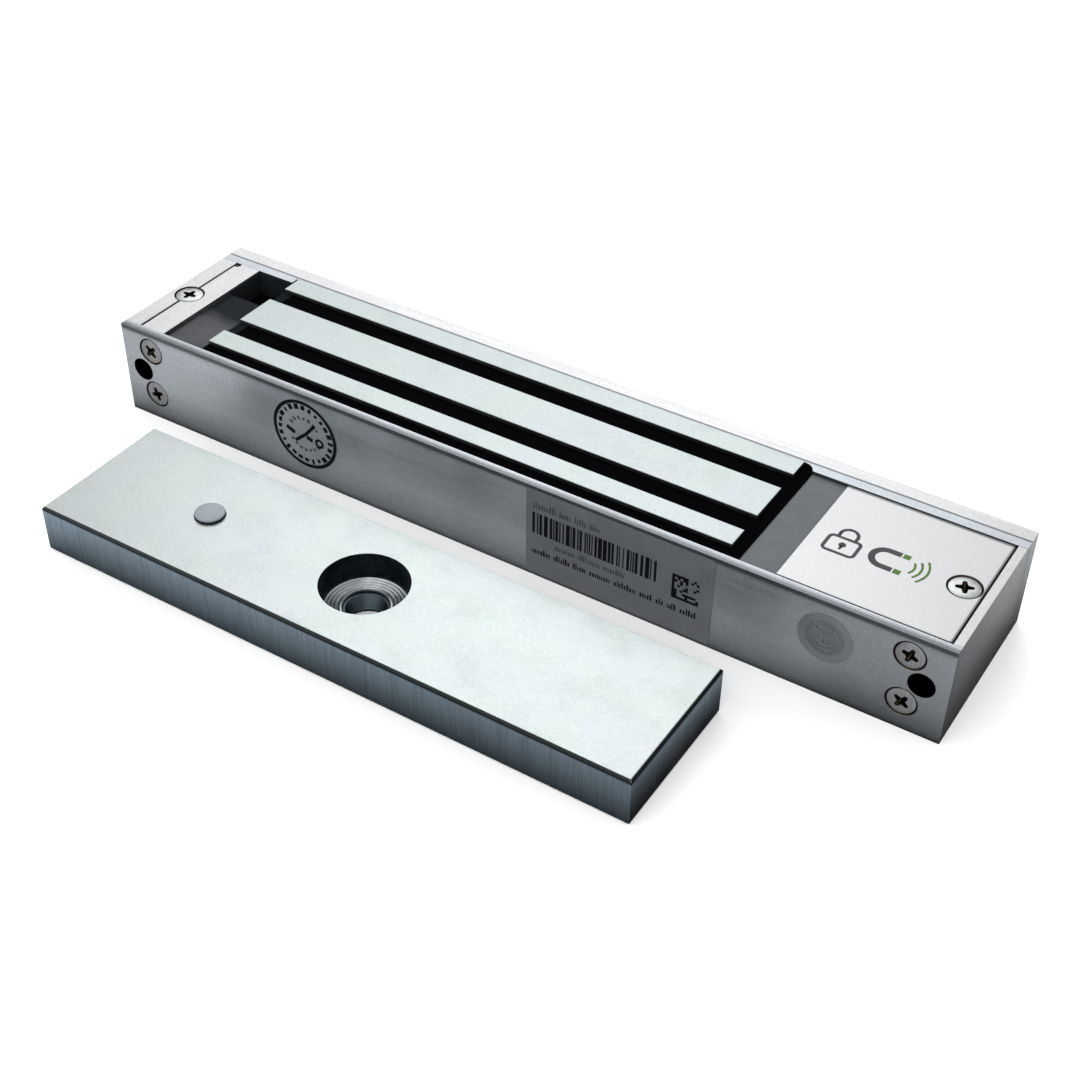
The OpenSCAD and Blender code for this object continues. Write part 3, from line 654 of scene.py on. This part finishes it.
def build_inspection_seal():
    """Round sticker with a printed rim, two rings of marks and a few strokes across the middle."""
    low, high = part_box("inspection_seal")
    radius = (high.x - low.x) / 2
    middle = centre("inspection_seal")
    base = facing((middle.x, high.y, middle.z), FRONT, UP)
    thick = high.y - low.y
    bm = bmesh.new()
    lathe(bm, [(0, 0), (radius, 0), (radius, thick * 0.7), (radius - 0.1 * MM, thick), (0, thick)], base)
    finish_piece("inspection_sticker", bm, [SEAL_FILM], "lock_body", ["inspection_seal"])
    face = facing((middle.x, low.y, middle.z), FRONT, UP)
    bm = bmesh.new()
    rim, band = radius - 0.05 * MM, 1.05 * MM
    lathe(bm, [(rim, 0), (rim, PRINT), (rim - band, PRINT), (rim - band, 0)], face, closed=True)
    rng = random.Random(5)
    outer_marks, outer_ring, inner_ring, inner_half, inner_step = 24, 7.9 * MM, 4.6 * MM, 0.42 * MM, 19
    for i in range(outer_marks):
        turned_face = face @ Matrix.Rotation(math.tau * i / outer_marks, 4, "Z")
        wide, tall = rng.uniform(0.4, 0.85) * MM, rng.uniform(1.0, 1.7) * MM
        slab(bm, rectangle(-wide, outer_ring, wide, outer_ring + tall), turned_face, PRINT)
    for i in range(-3, 4):
        for flip in (0, 180):
            turned_face = face @ Matrix.Rotation(math.radians(i * inner_step + flip), 4, "Z")
            tall = rng.uniform(0.7, 1.3) * MM
            slab(bm, rectangle(-inner_half, inner_ring, inner_half, inner_ring + tall), turned_face, PRINT, 1)
    for path, width in (([(-3.4, -3.1), (0.4, 0.2), (3.7, 4.1)], 0.95), ([(-6.2, 0.6), (-3.4, -0.6)], 1.3),
                        ([(0.6, -0.6), (2.6, -1.2)], 1.3)):
        stroke(bm, [(x * MM, y * MM) for x, y in path], width * MM, face, PRINT)
    stroke(bm, arc(4.9 * MM, -1.3 * MM, 1.1 * MM, 0, 360), 0.8 * MM, face, PRINT)
    finish_piece("inspection_print", bm, [INK, FADED_INK], "lock_body")


def build_tamper_seal():
    """Round grey sticker with a raised ring and faint arcs."""
    low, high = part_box("tamper_seal")
    radius = (high.x - low.x) / 2
    middle = centre("tamper_seal")
    base = facing((middle.x, high.y, middle.z), FRONT, UP)
    thick = high.y - low.y
    inner = radius * 0.7
    bm = bmesh.new()
    lathe(bm, [(0, 0), (radius, 0), (radius - 0.15 * MM, thick * 0.6), (inner, thick * 0.7)], base)
    lathe(bm, [(inner, thick * 0.7), (inner - 0.1 * MM, thick), (inner - 0.6 * MM, thick),
               (inner - 0.7 * MM, thick * 0.7), (0, thick * 0.8)], base, material=1)
    finish_piece("tamper_sticker", bm, [TAMPER_RIM, TAMPER_FILM], "lock_body", ["tamper_seal"])
    face = facing((middle.x, low.y, middle.z), FRONT, UP)
    bm = bmesh.new()
    for r, start, end in ((3.4, 20, 160), (2.2, 200, 330), (3.4, 250, 300), (1.1, 0, 300)):
        stroke(bm, arc(0, 0, r * MM, start, end), 0.45 * MM, face, PRINT / 2)
    finish_piece("tamper_print", bm, [TAMPER_RIM], "lock_body")


def build_cover_print():
    """A padlock and a horseshoe magnet, printed on the cover."""
    low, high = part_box("cover_plate")
    face = facing((low.x + 4.5 * MM, centre("cover_plate").y - 5.5 * MM, high.z), UP, BACKWARD)
    bm = bmesh.new()
    body = rounded(0, 0, 8 * MM, 6 * MM, 1.1 * MM)
    stroke(bm, body, 0.9 * MM, face, PRINT, closed=True)
    shackle = [(1.8 * MM, 6.4 * MM)] + arc(4 * MM, 7.6 * MM, 2.2 * MM, 180, 0) + [(6.2 * MM, 6.4 * MM)]
    stroke(bm, shackle, 0.9 * MM, face, PRINT)
    slab(bm, circle_points(0.95 * MM, 20), face @ Matrix.Translation((4 * MM, 3.4 * MM, 0)), PRINT)
    slab(bm, rectangle(3.65 * MM, 1.5 * MM, 4.35 * MM, 3 * MM), face, PRINT)
    bow = [(17.6 * MM, 7.6 * MM)] + arc(14.6 * MM, 4.4 * MM, 3.2 * MM, 90, 270) + [(17.6 * MM, 1.2 * MM)]
    stroke(bm, bow, 1.7 * MM, face, PRINT)
    for y in (7.6 * MM, 1.2 * MM):
        slab(bm, rectangle(18 * MM, y - 0.85 * MM, 19.8 * MM, y + 0.85 * MM), face, PRINT, 1)
    for k in range(3):
        reach = (3.4 + 1.7 * k) * MM
        stroke(bm, arc(18.6 * MM, 4.4 * MM, reach, -38, 38), 0.6 * MM, face, PRINT, 1)
    finish_piece("cover_pictogram", bm, [FADED_INK, GREEN_INK], "cover")


# ---------------------------------------------------------------- armature detail

def build_counterbore():
    """Turned floor, broken edge and thread of the armature's central hole; its wall and thread are steel in
    painted shade.
    """
    outer, bore = counterbore["dims"]["r_mm"] * MM, hole["dims"]["r_mm"] * MM
    plate_top = PLATE_BOX[1].z
    floor = hole["pos_m"][2] + hole["dims"]["length_mm"] * MM / 2
    place = Matrix.Translation((hole["pos_m"][0], hole["pos_m"][1], 0))
    bm = bmesh.new()
    rings = 5
    top = floor + 0.42 * MM
    step = (outer - bore - 0.9 * MM) / rings
    wall = outer - 0.04 * MM
    # the wall is steel in painted shade
    lathe(bm, [(outer, plate_top - 0.05 * MM), (wall, plate_top - 0.4 * MM), (wall, floor)], place, material=1)
    profile = [(wall, floor + 0.01 * MM)]
    for k in range(rings):
        r = outer - 0.1 * MM - k * step
        profile += [(r - step * 0.2, top - 0.34 * MM), (r - step * 0.75, top)]
    profile += [(bore + 0.8 * MM, floor + 0.1 * MM), (bore + 0.4 * MM, floor + 0.12 * MM),
                (bore + 0.05 * MM, floor - 0.35 * MM)]
    pitch, depth = 0.85 * MM, 0.42 * MM
    z = floor - 0.45 * MM
    while z > pitch:
        profile += [(bore - depth, z), (bore - 0.02 * MM, z - pitch / 2)]
        z -= pitch
    # the profile up to here is plain turned steel; the rest, down the hole, is in painted shade
    bright = 3 + 2 * rings
    lathe(bm, profile[:bright], place)
    lathe(bm, profile[bright - 1:], place, material=1)
    cut = steel("turned_steel", (0.25, 0.268, 0.28))
    # dark steel for the wall and thread: painted shade
    dark = steel("bore_wall_shade", (0.034, 0.045, 0.052), rough=0.25)
    finish_piece("turned_counterbore", bm, [cut, dark], "armature", smooth=25)


def build_release_pin():
    """Turned pin: flange inside the plate, flank in painted shade, flat head with a rounded edge."""
    low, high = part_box("release_pin")
    middle = centre("release_pin")
    place = Matrix.Translation((middle.x, middle.y, 0))
    flange, radius = (high.x - low.x) / 2, PIN_R
    shoulder = low.z + PIN_FLANGE
    head = [(radius - 0.02 * MM, high.z - 0.34 * MM), (radius - 0.1 * MM, high.z - 0.18 * MM),
            (radius - 0.3 * MM, high.z - 0.07 * MM), (radius - 0.7 * MM, high.z - 0.02 * MM), (0, high.z)]
    bm = bmesh.new()
    lathe(bm, [(0, low.z), (flange, low.z), (flange, shoulder), (radius, shoulder),
               (radius, high.z - 0.45 * MM), head[0]], place, material=1)
    lathe(bm, head, place)
    # a dark copy of the pin plastic for its flank: painted shade
    flank = plastic("pin_flank_shade", (0.012, 0.015, 0.018), rough=0.5, IOR=1.2)
    finish_piece("turned_release_pin", bm, [FINISHES["release_pin"], flank], "release_pin",
                 ["release_pin"])


# ---------------------------------------------------------------- electrical detail

def build_board_detail():
    """Two rows of solder joints on the circuit board."""
    low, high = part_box("circuit_board")
    place = Matrix.Translation((0, 0, high.z))
    bm = bmesh.new()
    rng = random.Random(9)
    rows, per_row, first, pitch = (1.0 * MM, 5.0 * MM), 4, 9, 4.2
    for i in range(per_row):
        for x in rows:
            joint = place @ Matrix.Translation((low.x + x, low.y + (first + i * pitch) * MM, 0))
            r = rng.uniform(0.7, 0.9) * MM
            lathe(bm, [(r, 0), (r * 0.9, r * 0.2), (r * 0.45, r * 0.55), (r * 0.2, r * 0.9), (0, r * 0.95)],
                  joint, 20)
    finish_piece("board_solder", bm, [SOLDER], "lock_body")


# ---------------------------------------------------------------- pin return spring

def build_spring():
    """Coil of round wire that fills the spring's box."""
    low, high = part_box("release_spring")
    middle = centre("release_spring")
    wire, turns, steps, sides = 0.45 * MM, 4, 160, 12
    mean = (high.x - low.x) / 2 - wire
    bm = bmesh.new()
    rings = []
    for i in range(steps + 1):
        angle = math.tau * turns * i / steps
        outward = Vector((math.cos(angle), math.sin(angle), 0))
        rise = low.z + wire + (high.z - low.z - 2 * wire) * i / steps
        point = Vector((middle.x, middle.y, rise)) + outward * mean
        rings.append([bm.verts.new(point + outward * x + Vector((0, 0, y)))
                      for x, y in circle_points(wire, sides)])
    for lower, upper in zip(rings, rings[1:]):
        for i in range(sides):
            j = (i + 1) % sides
            bm.faces.new([lower[i], lower[j], upper[j], upper[i]])
    bm.faces.new(rings[0])
    bm.faces.new(rings[-1])
    spring = finish_piece("coil_spring", bm, [FINISHES["release_spring"]], "armature",
                          ["release_spring"])
    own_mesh(spring)


# ---------------------------------------------------------------- carried-over parts

# Finish and edge rounding in millimetres for each node that keeps its CAD mesh
NODE_FINISH = {
    "housing": ("housing", 0.22), "mounting_plate": ("mounting_plate", 0.22),
    "end_block_left": ("end_blocks", 0.15), "end_block_right": ("end_blocks", 0.15),
    "cover_plate": ("cover_plate", 0.15), "mounting_bolts": ("dark_steel", 0.12),
    "core": ("core", 0.15), "coil_bobbin": ("coil_bobbin", 0.1), "coil_winding": ("coil_winding", 0.1),
    "potting": ("potting", 0.0), "resin_left": ("left_resin", 0.1), "resin_right": ("resin", 0.1),
    # the pocket_liner node carries the black sheet of painted shade
    "resin_dam": ("coil_bobbin", 0.1), "pocket_liner": ("pocket_liner", 0.0),
    "circuit_board": ("circuit_board", 0.05), "board_posts": ("board_posts", 0.1),
    "board_screws": ("screws", 0.08), "terminal_block": ("terminal_block", 0.1),
    "terminal_screws": ("screws", 0.08), "varistor": ("varistor", 0.3), "diode": ("diode", 0.08),
    "coil_leads": ("coil_leads", 0.0), "wire_grommet": ("wire_grommet", 0.25),
    "armature_plate": ("armature_plate", 0.12), "spring_plug": ("dark_steel", 0.1),
}


WELD_DISTANCE = 1e-6
FLAT_ANGLE, EDGE_ANGLE = math.radians(0.3), math.radians(32)


def dress_frame():
    """Gives each carried-over node its finish, and rounds its sharp edges a little."""
    for name, (finish, edge) in NODE_FINISH.items():
        node = frame["nodes"][name]
        if not node.material_slots:
            node.data.materials.append(None)
        for slot in node.material_slots:
            slot.material = FINISHES[finish]
        if edge:
            weld = node.modifiers.new("weld", "WELD")
            weld.merge_threshold = WELD_DISTANCE
            flat = node.modifiers.new("flat", "DECIMATE")
            flat.decimate_type = "DISSOLVE"
            flat.angle_limit = FLAT_ANGLE
            bevel = node.modifiers.new("edge", "BEVEL")
            bevel.width = edge * MM
            bevel.segments = 2
            bevel.limit_method = "ANGLE"
            bevel.angle_limit = EDGE_ANGLE
            bevel.miter_outer = "MITER_ARC"
            even = node.modifiers.new("even", "WEIGHTED_NORMAL")
            even.keep_sharp = True


# ---------------------------------------------------------------- studio

SENSOR = 36  # millimetres, like the lens
CLIP = (0.01, 20)
VIEW = {"azimuth": 31.96, "elevation": 39.04, "roll": 0.83, "lens": 57.085, "distance": 0.44,
        "target": (0.013, -0.0223, 0.0089)}


def build_camera():
    """Camera that looks at the target from the photograph's direction."""
    azimuth, elevation = math.radians(VIEW["azimuth"]), math.radians(VIEW["elevation"])
    forward = Vector((-math.sin(azimuth) * math.cos(elevation), math.cos(azimuth) * math.cos(elevation),
                      -math.sin(elevation)))
    across = forward.cross(Vector(UP)).normalized()
    over = across.cross(forward)
    roll = math.radians(VIEW["roll"])
    right = across * math.cos(roll) + over * math.sin(roll)
    up = over * math.cos(roll) - across * math.sin(roll)
    data = bpy.data.cameras.new("camera")
    data.lens = VIEW["lens"]
    data.sensor_width = SENSOR
    data.clip_start, data.clip_end = CLIP
    camera = bpy.data.objects.new("camera", data)
    place = Matrix((right, up, -forward)).transposed().to_4x4()
    place.translation = Vector(VIEW["target"]) - forward * VIEW["distance"]
    camera.matrix_world = place
    scene.collection.objects.link(camera)
    scene.camera = camera


FLOOR_HALF, FLOOR_DROP = 4.0, 0.05 * MM
SKY = [(0.0, 0.32), (0.2, 0.5), (0.42, 1.0), (0.8, 1.0), (0.97, 0.45)]  # brightness from the horizon upwards
SKY_STRENGTH = (-0.7, 0.3, 1.3, 1.35)  # from the near side to the far side
LAMP_SIZE = 0.9
LAMPS = [("softbox", (-0.47, 0.78, 0.91), 8.0), ("fill", (0.1, -0.75, 0.65), 4.5),
         ("side_fill", (-0.75, -0.5, 0.4), 2.5)]


def build_floor():
    """Plain pale sheet just under the part, glowing a little so that it comes out white."""
    bm = bmesh.new()
    corners = [bm.verts.new((x * FLOOR_HALF, y * FLOOR_HALF, -FLOOR_DROP))
               for x, y in ((-1, -1), (1, -1), (1, 1), (-1, 1))]
    bm.faces.new(corners)
    mesh = bpy.data.meshes.new("floor")
    bm.to_mesh(mesh)
    bm.free()
    floor = bpy.data.objects.new("floor", mesh)
    scene.collection.objects.link(floor)
    paper = Finish("paper", Base_Color=(0.8, 0.8, 0.8, 1), Roughness=0.9, Specular_IOR_Level=0.1,
                   Emission_Color=(0.95, 0.98, 1.0, 1), Emission_Strength=0.16)
    mesh.materials.append(paper.material)


def build_sky():
    """Soft light from all round, weaker near the horizon and straight above."""
    world = bpy.data.worlds.new("studio")
    world.use_nodes = True
    scene.world = world
    tree = world.node_tree
    coords = tree.nodes.new("ShaderNodeTexCoord")
    split = tree.nodes.new("ShaderNodeSeparateXYZ")
    strength = tree.nodes.new("ShaderNodeMapRange")
    for socket, number in zip(list(strength.inputs)[1:5], SKY_STRENGTH):
        socket.default_value = number
    ramp = tree.nodes.new("ShaderNodeValToRGB")
    while len(ramp.color_ramp.elements) < len(SKY):
        ramp.color_ramp.elements.new(0.5)
    for element, (place, level) in zip(ramp.color_ramp.elements, SKY):
        element.position = place
        element.color = (level, level, level, 1)
    background = tree.nodes["Background"]
    tree.links.new(split.outputs["Y"], strength.inputs[0])
    tree.links.new(strength.outputs[0], background.inputs["Strength"])
    tree.links.new(coords.outputs["Generated"], split.inputs[0])
    tree.links.new(split.outputs["Z"], ramp.inputs[0])
    tree.links.new(ramp.outputs[0], background.inputs["Color"])


def build_lamps():
    """Large soft square lamps, each facing the part's origin."""
    for name, place, energy in LAMPS:
        lamp = bpy.data.lights.new(name, "AREA")
        lamp.size = LAMP_SIZE
        lamp.energy = energy
        light = bpy.data.objects.new(name, lamp)
        light.matrix_world = facing(place, place, UP)
        scene.collection.objects.link(light)


build_camera()
dress_frame()
build_screws()
build_serial_label()
build_inspection_seal()
build_tamper_seal()
build_cover_print()
build_counterbore()
build_release_pin()
build_board_detail()
build_spring()
build_floor()
build_sky()
build_lamps()
scene.view_settings.view_transform = "Standard"
